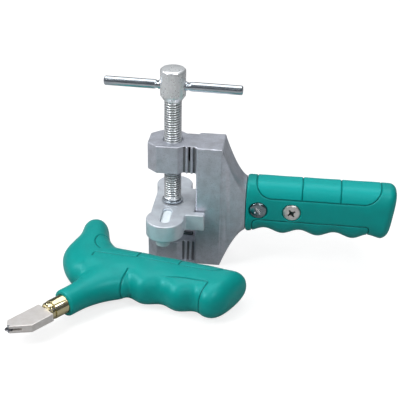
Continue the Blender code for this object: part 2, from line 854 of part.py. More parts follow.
def flat_along_nozzle():
    """Carries +Y to the way the nozzle points and keeps +Z up."""
    out = -nozzle_axis()
    turn = Matrix.Rotation(math.atan2(out.y, out.x) - math.pi / 2, 4, "Z")
    return Matrix.Translation(in_plane(*NOZZLE_MOUTH) * MM) @ turn


def make_wheel():
    x, y = wheel_place()
    place = flat_along_nozzle() @ Matrix.Translation((x * MM, y * MM, 0))
    half = WHEEL_THICKNESS / 2
    bore = AXLE_RADIUS + 0.05
    profile = [
        (bore, 0),
        (bore, half),
        (WHEEL_RADIUS - 0.7, half),
        (WHEEL_RADIUS, 0),
        (WHEEL_RADIUS - 0.7, -half),
        (bore, -half),
        (bore, 0),
    ]
    wheel = turned("cutting_wheel", profile, PARTS, sides=40)
    wheel.matrix_world = place
    finish(wheel, material("carbide", CARBIDE, 0.3, 0.8))
    length = HEAD_THICKNESS / 2 - 0.2
    axle = rod("wheel_axle", (0, 0, -length), (0, 0, length), AXLE_RADIUS, sides=20, collection=PARTS)
    axle.matrix_world = place
    finish(axle, bpy.data.materials["bright_steel"])


clear_scene()
PARTS = new_collection("glass_cutter_set")
CUTTERS = new_collection("cutters", hidden=True)
make_frame()
make_spindle()
make_tommy_bar()
make_pressure_bar()
make_feet()
make_rings()
make_fulcrum()
make_clamp_grip()
make_grip_screws()
make_cutter_handle()
make_ferrule()
make_cutter_head()
make_wheel()
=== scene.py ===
"""Looks for the glass cutter set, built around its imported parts.

Shapes are worked out in millimetres in the row frame and scaled to metres by MM. The origin is on the clamp
screw's axis at the floor, +X runs along the clamp's grip and -Y towards the user.
"""

import json
import math

import bmesh
import bpy
import numpy as np
from mathutils import Matrix, Vector


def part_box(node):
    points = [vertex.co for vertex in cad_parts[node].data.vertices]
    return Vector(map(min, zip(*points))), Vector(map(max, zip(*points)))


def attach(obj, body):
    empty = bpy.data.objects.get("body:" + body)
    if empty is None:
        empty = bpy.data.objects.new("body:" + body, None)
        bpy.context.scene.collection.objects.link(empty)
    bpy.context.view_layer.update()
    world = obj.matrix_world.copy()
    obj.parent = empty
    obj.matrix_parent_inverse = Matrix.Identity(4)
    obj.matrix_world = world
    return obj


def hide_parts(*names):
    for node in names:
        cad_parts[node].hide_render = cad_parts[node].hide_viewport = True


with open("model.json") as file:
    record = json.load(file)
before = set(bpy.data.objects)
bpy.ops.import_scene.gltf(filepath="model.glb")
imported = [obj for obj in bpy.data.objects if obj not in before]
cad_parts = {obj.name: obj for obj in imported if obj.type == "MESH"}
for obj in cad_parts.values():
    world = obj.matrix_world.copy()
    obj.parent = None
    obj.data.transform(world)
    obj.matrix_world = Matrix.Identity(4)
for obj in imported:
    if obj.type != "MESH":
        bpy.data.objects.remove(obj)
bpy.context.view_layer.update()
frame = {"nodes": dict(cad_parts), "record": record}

MM = 0.001
SCENE = bpy.context.scene

# Camera: place in millimetres, turns about Z, X and its own axis
CAMERA_PLACE = (80.30, -580.34, 365.43)
CAMERA_TURNS = (6.0, 61.2, 1.11)
CAMERA_LENS, CAMERA_SENSOR = 85.6, 36.0

# The way from the mouth of the cutter's nozzle into it, in plan
NOZZLE_ANGLE = math.radians(52.7)

# Turned profiles that close on their axis start and end this far from it
ON_AXIS = 0.02


def node_box(name):
    """Lowest and highest corner of a CAD node, in millimetres."""
    low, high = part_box(name)
    return low / MM, high / MM


# ---------------------------------------------------------------- meshes


def new_object(name, mesh):
    obj = bpy.data.objects.new(name, mesh)
    SCENE.collection.objects.link(obj)
    return obj


def object_from_bmesh(name, shape):
    mesh = bpy.data.meshes.new(name)
    bmesh.ops.recalc_face_normals(shape, faces=shape.faces)
    shape.to_mesh(mesh)
    shape.free()
    return new_object(name, mesh)


def baked(obj):
    """Applies the object's modifiers."""
    bpy.context.view_layer.update()
    graph = bpy.context.evaluated_depsgraph_get()
    mesh = bpy.data.meshes.new_from_object(obj.evaluated_get(graph))
    obj.modifiers.clear()
    obj.data = mesh
    return obj


def shaded(obj, sharp_degrees=32):
    obj.data.shade_smooth()
    obj.data.set_sharp_from_angle(angle=math.radians(sharp_degrees))
    return obj


def loft(name, rings):
    """A closed skin over rings of points, all of one count, in millimetres."""
    shape = bmesh.new()
    rows = [[shape.verts.new(Vector(point) * MM) for point in ring] for ring in rings]
    for row, following in zip(rows, rows[1:]):
        for i in range(len(row)):
            j = (i + 1) % len(row)
            shape.faces.new((row[i], row[j], following[j], following[i]))
    shape.faces.new(list(reversed(rows[0])))
    shape.faces.new(rows[-1])
    return object_from_bmesh(name, shape)


def on_superellipse(angle, power):
    """A point of a rounded square of half width 1."""
    c, s = math.cos(angle), math.sin(angle)
    return math.copysign(abs(c) ** (2 / power), c), math.copysign(abs(s) ** (2 / power), s)


def revolved(name, profile, sides, place=None, reshape=None):
    """A turned piece about +Z from (radius, height) pairs.

    reshape(angle, radius, height) may move each point.
    """
    rings = []
    for radius, height in profile:
        ring = []
        for i in range(sides):
            angle = 2 * math.pi * i / sides
            r, z = (radius, height) if reshape is None else reshape(angle, radius, height)
            ring.append(Vector((r * math.cos(angle), r * math.sin(angle), z)))
        rings.append(ring)
    obj = loft(name, rings)
    if place is not None:
        obj.data.transform(place)
    return shaded(obj)


def tube_profile(name, profile, sides=96, place=None):
    """A turned ring: the profile closes on itself, so the piece has a hole."""
    shape = bmesh.new()
    angles = [2 * math.pi * i / sides for i in range(sides)]
    rows = []
    for radius, height in profile:
        ring = [Vector((radius * math.cos(a), radius * math.sin(a), height)) for a in angles]
        rows.append([shape.verts.new(point * MM) for point in ring])
    for row, following in zip(rows, rows[1:] + rows[:1]):
        for i in range(sides):
            j = (i + 1) % sides
            shape.faces.new((row[i], row[j], following[j], following[i]))
    obj = object_from_bmesh(name, shape)
    if place is not None:
        obj.data.transform(place)
    return shaded(obj)


def boolean(obj, other, operation="DIFFERENCE"):
    modifier = obj.modifiers.new("Boolean", "BOOLEAN")
    modifier.operation = operation
    modifier.solver = "EXACT"
    modifier.object = other
    baked(obj)
    bpy.data.objects.remove(other)
    return obj


def box(name, low, high, place=None):
    shape = bmesh.new()
    bmesh.ops.create_cube(shape, size=1.0)
    bmesh.ops.scale(shape, vec=[(b - a) * MM for a, b in zip(low, high)], verts=shape.verts)
    bmesh.ops.translate(shape, vec=[(a + b) / 2 * MM for a, b in zip(low, high)], verts=shape.verts)
    obj = object_from_bmesh(name, shape)
    if place is not None:
        obj.data.transform(place)
    return obj


# Points of a CAD mesh this near (in metres) are one, and faces this nearly level are one flat face
WELD_DISTANCE, FLAT_DEGREES = 2e-6, 0.6
BEVEL_FROM_DEGREES = 28


def refined(name, node, bevel, segments=3):
    """A copy of a CAD node with its flat faces whole and its edges rounded."""
    shape = bmesh.new()
    shape.from_mesh(frame["nodes"][node].data)
    bmesh.ops.remove_doubles(shape, verts=shape.verts, dist=WELD_DISTANCE)
    flat = math.radians(FLAT_DEGREES)
    bmesh.ops.dissolve_limit(shape, angle_limit=flat, verts=shape.verts, edges=shape.edges)
    obj = object_from_bmesh(name, shape)
    modifier = obj.modifiers.new("Bevel", "BEVEL")
    modifier.width = bevel * MM
    modifier.segments = segments
    modifier.limit_method = "ANGLE"
    modifier.angle_limit = math.radians(BEVEL_FROM_DEGREES)
    modifier.use_clamp_overlap = False
    modifier.harden_normals = False
    baked(obj)
    shaded(obj, 40)
    obj.modifiers.new("Weighted", "WEIGHTED_NORMAL").keep_sharp = True
    return baked(obj)


def points_of(mesh):
    flat = np.empty(len(mesh.vertices) * 3)
    mesh.vertices.foreach_get("co", flat)
    return flat.reshape(-1, 3) / MM


def set_points(mesh, points):
    mesh.vertices.foreach_set("co", (points * MM).ravel())
    mesh.update()


def normals_of(mesh):
    flat = np.empty(len(mesh.vertices) * 3)
    mesh.vertices.foreach_get("normal", flat)
    return flat.reshape(-1, 3)


def edges_of(mesh):
    flat = np.empty(len(mesh.edges) * 2, int)
    mesh.edges.foreach_get("vertices", flat)
    return flat.reshape(-1, 2)


def neighbour_average(points, edges):
    """The mean of each point's neighbours."""
    count = np.bincount(edges.ravel(), minlength=len(points))
    total = np.empty_like(points)
    for axis in range(3):
        there = np.bincount(edges[:, 0], points[edges[:, 1], axis], len(points))
        back = np.bincount(edges[:, 1], points[edges[:, 0], axis], len(points))
        total[:, axis] = there + back
    return total / np.maximum(count, 1)[:, None]


def smooth(mesh, rounds, weight=1.0):
    points, edges = points_of(mesh), edges_of(mesh)
    weight = np.asarray(weight).reshape(-1, 1) if np.ndim(weight) else weight
    for _ in range(rounds):
        points += (neighbour_average(points, edges) - points) * 0.5 * weight
    set_points(mesh, points)


def fill_hollows(mesh, rounds, weight):
    """Fillets: moves only hollow points, outwards, towards the mean of their neighbours."""
    edges = edges_of(mesh)
    for _ in range(rounds):
        points, normals = points_of(mesh), normals_of(mesh)
        pull = ((neighbour_average(points, edges) - points) * normals).sum(axis=1)
        points += normals * (np.maximum(pull, 0) * weight)[:, None]
        set_points(mesh, points)


def mark(obj, name, values):
    """Keeps a value from 0 to 1 at each point, for the material to read."""
    layer = obj.data.attributes.new(name, "FLOAT", "POINT")
    layer.data.foreach_set("value", np.clip(values, 0, 1).astype(np.float32))


def smooth_step(t):
    t = np.clip(t, 0, 1)
    return t * t * (3 - 2 * t)


# ---------------------------------------------------------------- moulded grooves


GROOVE_WIDTH, GROOVE_DEPTH = 0.8, 0.7


def path_distance(x, y, path):
    """The distance of each point to a path of straight stretches, in a plane."""
    nearest = np.full(len(x), 1e9)
    for (ax, ay), (bx, by) in zip(path, path[1:]):
        dx, dy = bx - ax, by - ay
        t = np.clip(((x - ax) * dx + (y - ay) * dy) / max(dx * dx + dy * dy, 1e-9), 0, 1)
        nearest = np.minimum(nearest, np.hypot(x - ax - t * dx, y - ay - t * dy))
    return nearest


def rounded_path(corners, radius, steps=4):
    """A path with its inner corners cut round."""
    path = [Vector(corners[0])]
    for before, corner, after in zip(corners, corners[1:], corners[2:]):
        before, corner, after = Vector(before), Vector(corner), Vector(after)
        inward, outward = before - corner, after - corner
        reach = min(radius, inward.length / 2, outward.length / 2)
        start = corner + inward.normalized() * reach
        end = corner + outward.normalized() * reach
        for i in range(steps + 1):
            t = i / steps
            path.append(start * (1 - t) ** 2 + corner * 2 * t * (1 - t) + end * t * t)
    path.append(Vector(corners[-1]))
    return [tuple(point) for point in path]


def carve(obj, distance):
    """Splits the faces near the grooves, then sinks the points within a groove's width."""
    near = distance(points_of(obj.data)) < GROOVE_WIDTH * 1.6
    shape = bmesh.new()
    shape.from_mesh(obj.data)
    shape.verts.ensure_lookup_table()
    edges = [e for e in shape.edges if near[e.verts[0].index] or near[e.verts[1].index]]
    bmesh.ops.subdivide_edges(shape, edges=edges, cuts=1, use_grid_fill=True)
    shape.to_mesh(obj.data)
    shape.free()
    points, normals = points_of(obj.data), normals_of(obj.data)
    sink = GROOVE_DEPTH * (1 - smooth_step(distance(points) / GROOVE_WIDTH))
    set_points(obj.data, points - normals * sink[:, None])


# Painted shade: marks the points in each groove, which the teal material darkens.
def mark_grooves(obj, distance):
    mark(obj, "shade", 1 - smooth_step(distance(points_of(obj.data)) / (GROOVE_WIDTH * 0.8)))


# ---------------------------------------------------------------- materials


class Surface:
    """A Principled material with helpers for noise-driven colour, roughness and relief."""

    def __init__(self, name, color, roughness, metallic=0.0, **sockets):
        self.made = bpy.data.materials.new(name)
        self.made.use_nodes = True
        self.tree = self.made.node_tree
        self.shader = self.tree.nodes["Principled BSDF"]
        self.color = color
        self.tone = None
        self.shader.inputs["Base Color"].default_value = (*color, 1)
        self.shader.inputs["Roughness"].default_value = roughness
        self.shader.inputs["Metallic"].default_value = metallic
        for socket, value in sockets.items():
            self.shader.inputs[socket.replace("_", " ")].default_value = value
        self.normal = None

    def node(self, kind, **inputs):
        node = self.tree.nodes.new(kind)
        for socket, value in inputs.items():
            node.inputs[socket.replace("_", " ")].default_value = value
        return node

    def noise(self, size, stretch=(1, 1, 1), detail=3.0, turn=(0, 0, 0)):
        """Noise whose features measure about size millimetres, longer along the axes stretched."""
        coords = self.node("ShaderNodeTexCoord")
        mapping = self.node("ShaderNodeMapping", Scale=[1 / s for s in stretch], Rotation=turn)
        texture = self.node("ShaderNodeTexNoise", Scale=1 / (size * MM), Detail=detail)
        self.tree.links.new(coords.outputs["Object"], mapping.inputs["Vector"])
        self.tree.links.new(mapping.outputs["Vector"], texture.inputs["Vector"])
        return texture.outputs["Fac"]

    def spread(self, fac, low, high, start=0.3, end=0.7):
        """Carries start to end onto low to high, and holds there beyond them."""
        node = self.node("ShaderNodeMapRange", From_Min=start, From_Max=end, To_Min=low, To_Max=high)
        self.tree.links.new(fac, node.inputs["Value"])
        return node.outputs["Result"]

    def blend(self, fac, other):
        """Blends the colour so far with another where fac is high."""
        mix = self.tree.nodes.new("ShaderNodeMix")
        mix.data_type = "RGBA"
        near, far = [socket for socket in mix.inputs if socket.type == "RGBA"]
        near.default_value = (*self.color, 1)
        far.default_value = (*other, 1)
        if self.tone is not None:
            self.tree.links.new(self.tone, near)
        self.tree.links.new(fac, mix.inputs[0])
        self.tone = [socket for socket in mix.outputs if socket.type == "RGBA"][0]
        self.tree.links.new(self.tone, self.shader.inputs["Base Color"])
        return self

    def mottle(self, fac, other, start=0.3, end=0.7):
        return self.blend(self.spread(fac, 0, 1, start, end), other)

    def where(self, name, other, strength=1.0):
        """Blends in another colour where a piece is marked, such as in its grooves."""
        attribute = self.tree.nodes.new("ShaderNodeAttribute")
        attribute.attribute_name = name
        return self.blend(self.spread(attribute.outputs["Fac"], 0, strength, 0, 1), other)

    def polish(self, fac, low, high):
        self.tree.links.new(self.spread(fac, low, high), self.shader.inputs["Roughness"])
        return self

    def relief(self, fac, strength, depth):
        node = self.node("ShaderNodeBump", Strength=strength, Distance=depth * MM)
        self.tree.links.new(fac, node.inputs["Height"])
        if self.normal is not None:
            self.tree.links.new(self.normal, node.inputs["Normal"])
        self.normal = node.outputs["Normal"]
        self.tree.links.new(self.normal, self.shader.inputs["Normal"])
        return self


def teal_moulding():
    """Semi-gloss moulded plastic with a faint matt grain, slow changes of tone, painted shade in the grooves
    and a painted lighter tone on the grip's upper panel, for the light it catches.
    """
    made = Surface(
        "teal_moulding",
        (0.001, 0.320, 0.292),
        0.37,
        Specular_IOR_Level=0.50,
        Specular_Tint=(0.35, 0.90, 1.0, 1.0),
    )
    made.mottle(made.noise(9.0), (0.003, 0.292, 0.270))
    # Painted light: the grip's upper panel is made lighter, for the light its slope catches.
    made.where("panel_painted_light", (0.002, 0.370, 0.350))
    # Painted shade in the grooves.
    made.where("shade", (0.001, 0.080, 0.078), 0.85)
    made.polish(made.noise(2.2), 0.33, 0.41)
    made.relief(made.noise(0.35, detail=2.0), 0.10, 0.04)
    made.relief(made.noise(5.0, detail=1.0), 0.05, 0.3)
    return made.made


def cast_aluminium():
    """Tumbled casting: a fine pitted grain under cloudy patches, with painted shade on marked faces."""
    made = Surface("cast_aluminium", (0.68, 0.71, 0.79), 0.46, 0.80)
    made.mottle(made.noise(6.0), (0.55, 0.57, 0.63))
    made.mottle(made.noise(0.8, detail=4.0), (0.44, 0.46, 0.50), 0.52, 0.85)
    # Painted shade on the faces marked in the recess between the ribs.
    made.where("shade", (0.16, 0.16, 0.17), 0.9)
    made.polish(made.noise(3.0), 0.38, 0.52)
    made.relief(made.noise(0.5, detail=4.0), 0.30, 0.10)
    made.relief(made.noise(4.0), 0.10, 0.25)
    return made.made


def machined_aluminium():
    made = Surface("machined_aluminium", (0.77, 0.83, 0.89), 0.42, 0.50)
    made.mottle(made.noise(6.0), (0.65, 0.69, 0.75))
    made.polish(made.noise(2.0), 0.38, 0.48)
    made.relief(made.noise(0.4), 0.14, 0.05)
    return made.made


def plated(name, tone, low, high, tint, painted_shading, metallic=1.0):
    """Plated steel with a slow change of tint, and a painted tone where marked: painted shade in hollows, or
    a painted highlight on a dark finish.
    """
    made = Surface(name, tone, low, metallic)
    made.mottle(made.noise(5.0), tint)
    made.where("shade", painted_shading)
    made.polish(made.noise(1.6, detail=2.0), low, high)
    return made.made


def drawn_steel():
    """Bright drawn bar: long fine marks along X, with painted shade where marked."""
    made = Surface("bright_steel", (0.68, 0.73, 0.78), 0.22, 1.0)
    made.mottle(made.noise(4.0), (0.56, 0.62, 0.68))
    # Painted shade where marked: over the fulcrum pin and on the thrust washer's lower side.
    made.where("shade", (0.06, 0.06, 0.07))
    made.polish(made.noise(0.6, stretch=(12, 1, 1)), 0.14, 0.26)
    made.relief(made.noise(0.4, stretch=(20, 1, 1)), 0.08, 0.02)
    return made.made


def ground_steel(angle):
    """Surface-ground plate: straight marks across the head."""
    made = Surface("ground_steel", (0.86, 0.83, 0.81), 0.38, 0.72)
    made.mottle(made.noise(3.0), (0.80, 0.76, 0.73))
    lines = made.noise(0.16, stretch=(1, 24, 1), turn=(0, 0, angle))
    made.polish(lines, 0.32, 0.46)
    made.relief(lines, 0.14, 0.02)
    return made.made


def brass():
    made = Surface("brass", (0.74, 0.67, 0.42), 0.12, 1.0)
    made.mottle(made.noise(3.0), (0.66, 0.58, 0.34))
    made.polish(made.noise(0.8), 0.08, 0.18)
    made.relief(made.noise(2.0), 0.05, 0.03)
    return made.made


def nylon():
    made = Surface("foot_nylon", (0.88, 0.95, 0.98), 0.38)
    made.mottle(made.noise(4.0), (0.80, 0.89, 0.94))
    made.polish(made.noise(1.0), 0.34, 0.46)
    made.relief(made.noise(0.3), 0.08, 0.03)
    return made.made


def carbide():
    made = Surface("carbide", (0.07, 0.07, 0.08), 0.30, 1.0)
    made.mottle(made.noise(1.0), (0.11, 0.11, 0.12))
    made.polish(made.noise(0.4), 0.24, 0.40)
    made.relief(made.noise(0.1), 0.10, 0.01)
    return made.made


MATERIALS = {
    "teal_moulding": teal_moulding(),
    "cast_aluminium": cast_aluminium(),
    "machined_aluminium": machined_aluminium(),
    # Its marked tone is painted shade in the thread's roots.
    "zinc_plated_steel": plated(
        "zinc_plated_steel", (0.90, 0.92, 0.93), 0.26, 0.36, (0.84, 0.87, 0.89), (0.16, 0.18, 0.18), 0.70
    ),
    "bright_steel": drawn_steel(),
    "spring_steel": plated(
        "spring_steel", (0.12, 0.12, 0.13), 0.30, 0.45, (0.08, 0.08, 0.09), (0.05, 0.05, 0.05)
    ),
    # Its marked tone is light: a painted highlight in the cross of the front screw.
    "dark_plated_steel": plated(
        "dark_plated_steel", (0.30, 0.37, 0.40), 0.14, 0.22, (0.22, 0.28, 0.31), (0.85, 0.88, 0.90)
    ),
    # Its marked tone is painted shade in the cross of the rear screw.
    "nickel_plated_steel": plated(
        "nickel_plated_steel", (0.90, 0.88, 0.85), 0.30, 0.40, (0.84, 0.81, 0.78), (0.05, 0.08, 0.07)
    ),
    "foot_nylon": nylon(),
    "brass": brass(),
    "ground_steel": ground_steel(-NOZZLE_ANGLE),
    "carbide": carbide(),
}


def finished(obj, body, slot, *nodes):
    """Gives a piece its material, its body and the CAD nodes that it stands for."""
    obj.data.materials.clear()
    obj.data.materials.append(MATERIALS[slot])
    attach(obj, body)
    if nodes:
        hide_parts(*nodes)
    return obj


# ---------------------------------------------------------------- clamp: frame, screw and bar


# The recess between the ribs on each side: its two ends, and half the thickness left between the sides
RECESS_START, RECESS_END, RECESS_HALF = 6, 19, 11.0
# The low web across its foot
WEB_START, WEB_END, WEB_HALF, WEB_HEIGHT = 7.6, 18.0, 12.9, 1.5
# Painted shade on the whole fulcrum pin, which sits in the bar's shadow.
PIN_SHADE = 0.8


def make_frame():
    casting = refined("frame_casting", "clamp_frame", 0.35)
    web = box("web", (WEB_START, -WEB_HALF, 0.0), (WEB_END, WEB_HALF, WEB_HEIGHT))
    boolean(casting, web, "UNION")
    # Painted shade: marks the upright faces of the recess between the ribs, which the material darkens.
    shade = casting.data.attributes.new("shade", "FLOAT", "FACE")
    for face, value in zip(casting.data.polygons, shade.data):
        x, y, _ = face.center / MM
        upright = abs(face.normal.z) < 0.5
        value.value = float(abs(y) < RECESS_HALF and RECESS_START < x < RECESS_END and upright)
    finished(casting, "frame", "cast_aluminium", "clamp_frame")
    pin = refined("fulcrum_pin", "fulcrum_rod", 0.15, 2)
    mark(pin, "shade", np.full(len(pin.data.vertices), PIN_SHADE))
    finished(pin, "frame", "bright_steel", "fulcrum_rod")


THREAD_PITCH, THREAD_DEPTH = 1.75, 1.05
THREAD_FOOT, THREAD_TOP = 46.6, 119.1
# The length that the thread fades out over at its ends, and the depth down to which it has no painted shade
THREAD_FADE, THREAD_BRIGHT = 0.8, 0.25
# Where the flank starts and how long it is, in half turns from a crest
FLANK_START, FLANK_LENGTH = 0.14, 0.72
ROWS_PER_TURN = 10
# Undersides of the screw's head and of its neck
HEAD_FOOT, NECK_FOOT = 122.2, 119.4
DRILL_RADIUS, DRILL_HALF = 3.3, 20
# How far the cross bar's thickness reaches past its own axis along Y
BAR_SIDE = 3.15
BAR_STEP = 0.6
# The stakes beside the head: how far out of it, how long and how deep
STAKE_OUT, STAKE_LENGTH, STAKE_DEPTH = 1.9, 0.9, 0.24


def thread_dip(angle, height):
    """How far the thread's surface lies under its crest: a V with flat crests and roots."""
    phase = height / THREAD_PITCH - angle / (2 * math.pi)
    away = abs(2 * (phase - math.floor(phase)) - 1)
    ends = min(THREAD_TOP - height, height - THREAD_FOOT) / THREAD_FADE
    fade = min(max(ends, 0.0), 1.0)
    slope = min(max((away - FLANK_START) / FLANK_LENGTH, 0.0), 1.0)
    return THREAD_DEPTH * fade * slope


def make_spindle():
    low, high = node_box("spindle_screw")
    head, thread, journal = high.x, 5.95, 4.0
    # The thread's rows lie a hair inside its size, which tells them from the others
    crest = thread - 0.001
    shoulder = node_box("pressure_bar")[1].z + 2.1
    first, last = THREAD_TOP + 0.1, shoulder + 0.8
    rows = round((first - last) / THREAD_PITCH * ROWS_PER_TURN)
    profile = [(ON_AXIS, high.z), (head - 1.5, high.z), (head - 1.1, high.z - 0.1)]
    profile += [(head - 0.1, high.z - 1.1), (head, high.z - 1.6)]
    profile += [(head, HEAD_FOOT + 1.0), (head - 0.15, HEAD_FOOT + 0.4)]
    profile += [(head - 0.5, HEAD_FOOT), (thread + 0.7, NECK_FOOT + 0.5), (thread + 0.1, NECK_FOOT)]
    profile += [(crest, first - (first - last) * i / rows) for i in range(rows + 1)]
    profile += [(thread - 0.6, shoulder), (journal, shoulder), (journal, low.z + 1.0), (journal - 0.5, low.z)]
    profile += [(ON_AXIS, low.z)]

    def threaded(angle, radius, height):
        if abs(radius - crest) < 1e-6:
            radius -= thread_dip(angle, height)
        return radius, height

    spindle = revolved("screw_spindle", profile, 72, reshape=threaded)
    boolean(spindle, cross_rod("cross_drilling", cross_profile(DRILL_RADIUS, DRILL_HALF, 0.0), 48))
    # Painted shade in the thread's roots, strongest at their bottoms.
    points = points_of(spindle.data)
    depth = thread - np.hypot(points[:, 0], points[:, 1])
    painted_shading = (depth - THREAD_BRIGHT) / (THREAD_DEPTH - THREAD_BRIGHT)
    on_thread = (points[:, 2] > THREAD_FOOT) & (points[:, 2] < THREAD_TOP)
    mark(spindle, "shade", np.where(on_thread, np.clip(painted_shading, 0, 1) ** 2, 0))
    finished(shaded(spindle, 40), "spindle", "zinc_plated_steel", "spindle_screw")


def cross_profile(radius, half, chamfer):
    """A round bar along Z, with rows close enough together to carry the staking."""
    count = int((2 * half - 2 * chamfer - 2 * BAR_STEP) / BAR_STEP) + 1
    rows = [(ON_AXIS, half), (radius - chamfer, half), (radius, half - chamfer - 0.01)]
    rows += [(radius, half - chamfer - 0.5 - i * BAR_STEP) for i in range(count)]
    rows += [(radius, -half + chamfer + 0.01), (radius - chamfer, -half), (ON_AXIS, -half)]
    return rows


def cross_rod(name, profile, sides, reshape=None):
    """A bar turned about Z and laid along the cross hole of the screw's head."""
    low, high = node_box("tommy_bar")
    turn = math.atan2(-(high.y - BAR_SIDE), high.x)
    place = Matrix.Translation((0, 0, (low.z + high.z) / 2 * MM)) @ Matrix.Rotation(turn, 4, "Z")
    place = place @ Matrix.Rotation(math.radians(90), 4, "Y")
    return revolved(name, profile, sides, place, reshape)


def make_tommy_bar():
    low, high = node_box("tommy_bar")
    radius = (high.z - low.z) / 2
    head = node_box("spindle_screw")[1].x

    def staked(angle, r, z):
        """Pinched flat from above and below, just outside the head on both sides."""
        pinch = math.exp(-(((abs(z) - head - STAKE_OUT) / STAKE_LENGTH) ** 2))
        up, across = abs(math.cos(angle)), abs(math.sin(angle))
        squash = 1 - STAKE_DEPTH * pinch * up**1.5 - 0.02 * pinch * across
        return r * squash, z

    half = (high.x - low.x) / 2
    bar = cross_rod("cross_bar", cross_profile(radius, half - 0.1, 0.7), 64, staked)
    finished(bar, "spindle", "bright_steel", "tommy_bar")


def make_thrust_washer():
    low, high = node_box("thrust_washer")
    edge = 0.35
    profile = [
        (4.25, high.z - 0.2),
        (4.6, high.z),
        (high.x - edge, high.z),
        (high.x - 0.08, high.z - 0.12),
        (high.x, high.z - edge),
        (high.x, low.z + edge),
        (high.x - 0.08, low.z + 0.12),
        (high.x - edge, low.z),
        (4.6, low.z),
        (4.25, low.z + 0.2),
    ]
    ring = tube_profile("thrust_ring", profile)
    # Painted shade on the lower side, for the shadow and dark reflection under the washer.
    points = points_of(ring.data)
    mark(ring, "shade", (high.z - edge - points[:, 2]) / 0.3)
    finished(ring, "spindle", "bright_steel", "thrust_washer")


def make_pressure_bar():
    bar = refined("jaw_bar", "pressure_bar", 0.4)
    finished(bar, "jaw", "machined_aluminium", "pressure_bar")


def make_feet():
    for side in ("near", "far"):
        foot = refined("foot_pad_" + side, "foot_" + side, 0.3)
        finished(foot, "jaw", "foot_nylon", "foot_" + side)


# ---------------------------------------------------------------- clamp: grip


GRIP_LOW, GRIP_HIGH = node_box("clamp_grip")
GRIP_START = GRIP_LOW.x
GRIP_END = GRIP_HIGH.x + 0.66
GRIP_TOP = GRIP_HIGH.z
GRIP_HALF = GRIP_HIGH.y
GRIP_BOTTOM = GRIP_LOW.z
GRIP_POWER, GRIP_SIDES = 2.9, 208
# The scallops under the fingers, from the first crest back
SCALLOPS, SCALLOP_PITCH, SCALLOP_DEPTH, SCALLOP_CREST = 4, 24.2, 3.6, 53.4
HEEL_RISE, FRONT_ROUND, FRONT_SHRINK = 1.4, 1.4, 0.9
END_LEAN, END_LEAN_LENGTH, END_ROUND = 0.11, 30, 6.0
UPPER_PANEL = {"left": 58.7, "right": 143.2, "line": 55.7, "side": 1, "corner": 11.0}
LOWER_PANEL = {"left": 56.7, "right": 141.0, "line": 39.0, "side": -1, "corner": 3.5}
PANEL_END_LEAN, PANEL_LEAN_START, PANEL_LEAN_LENGTH = 0.2, 120, 25
UPPER_CUTS = (90.1, 116.1)
SCREW_SLOTS = {"grip_screw_front": "dark_plated_steel", "grip_screw_rear": "nickel_plated_steel"}
SCREW_SINK, RECESS_SINK, SHANK_RADIUS = 2.5, 2.7, 2.4
# The dome of a screw's pan head: share of its radius, drop from its crown
PAN_HEAD = ((0.45, 0.03), (0.72, 0.2), (0.88, 0.55), (0.97, 1.05), (1.0, 1.6))
# The cross in it: its bearings in degrees, half its length, half its width and its depth
CROSS_BEARINGS, CROSS_REACH, CROSS_HALF, CROSS_DEPTH = (35, 125), 3.0, 0.62, 1.7


def grip_bottom(x):
    phase = (x - SCALLOP_CREST) / SCALLOP_PITCH
    if phase < 0:
        return GRIP_BOTTOM
    if phase > SCALLOPS:
        return GRIP_BOTTOM + HEEL_RISE
    lift = HEEL_RISE * float(smooth_step((phase - 3.3) * 2))
    return GRIP_BOTTOM + lift + (SCALLOP_DEPTH - lift) * math.sin(math.pi * phase) ** 2


def grip_ring(along):
    """The grip's outline across its length, at a distance from its front end."""
    length = GRIP_END - GRIP_START
    left = length - along
    shrink = FRONT_SHRINK * (1 - along / FRONT_ROUND) ** 2 if along < FRONT_ROUND else 0.0
    if left < END_ROUND:
        shrink = END_ROUND - math.sqrt(max(END_ROUND**2 - (END_ROUND - left) ** 2, 0))
    x = GRIP_START + along
    low, high = grip_bottom(x) + shrink, GRIP_TOP - shrink
    lean = END_LEAN * float(smooth_step((along - length + END_LEAN_LENGTH) / END_LEAN_LENGTH))
    ring = []
    for i in range(GRIP_SIDES):
        across, up = on_superellipse(2 * math.pi * (i + 0.5) / GRIP_SIDES, GRIP_POWER)
        y = across * (GRIP_HALF - shrink * 0.9)
        z = (low + high) / 2 + up * (high - low) / 2
        ring.append(Vector((x + lean * (z - GRIP_TOP), y, z)))
    return ring


def signed_panel(points, left, right, line, side, corner):
    """Distance out of a panel in side view, whose edge is straight and whose ends go over the grip."""
    lean = PANEL_END_LEAN * smooth_step((points[:, 0] - PANEL_LEAN_START) / PANEL_LEAN_LENGTH)
    x = points[:, 0] + lean * (GRIP_TOP - points[:, 2])
    reach = np.maximum(left - x, x - right) + corner
    drop = corner - (points[:, 2] - line) * side
    outside = np.hypot(np.maximum(reach, 0), np.maximum(drop, 0))
    return outside + np.minimum(np.maximum(reach, drop), 0) - corner


def grip_grooves(points):
    upper, lower = signed_panel(points, **UPPER_PANEL), signed_panel(points, **LOWER_PANEL)
    nearest = np.minimum(abs(upper), abs(lower))
    for x in UPPER_CUTS:
        below = np.minimum(points[:, 2] - UPPER_PANEL["line"], 0)
        nearest = np.minimum(nearest, np.hypot(points[:, 0] - x, below))
    return nearest


def screw_place(node):
    """Carries +Z to -Y, on the axis of one of the grip's screws."""
    low, high = node_box(node)
    middle = (low + high) / 2
    return Matrix.Translation((middle.x * MM, 0, middle.z * MM)) @ Matrix.Rotation(math.radians(90), 4, "X")


